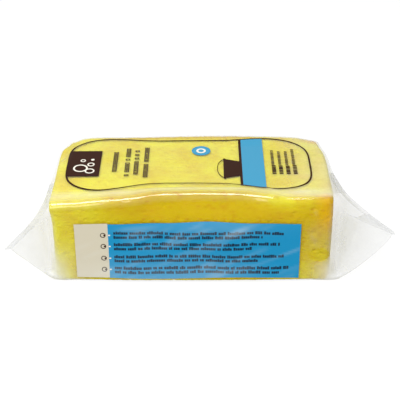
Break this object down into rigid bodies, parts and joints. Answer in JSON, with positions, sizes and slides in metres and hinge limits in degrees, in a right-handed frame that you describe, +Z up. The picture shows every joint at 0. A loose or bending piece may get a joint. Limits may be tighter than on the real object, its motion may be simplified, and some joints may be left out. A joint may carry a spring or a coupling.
{
  "type": "cleaning sponge",
  "caption": "Large rectangular foam cleaning sponge, sealed in a clear printed film wrapper with tucked, welded ends.",
  "frame": {"origin": "centre of the film's underside, beneath the middle of the foam block", "axes": "+X along the block's length, +Y away from the side with the text panel, +Z up through the printed top"},
  "size_m": [0.2842, 0.0933, 0.0703],
  "materials": {
    "foam": "open-cell polyurethane foam, dull",
    "film": "clear glossy polypropylene film",
    "black_ink": "dark brown printing ink under gloss film",
    "blue_ink": "light blue printing ink under gloss film",
    "white_ink": "warm white printing ink under gloss film"
  },
  "bodies": {
    "root": {"sponge": "foam", "film_wrapper": "film", "black_ink": "black_ink", "blue_ink": "blue_ink", "white_ink": "white_ink"}
  },
  "joints": []
}
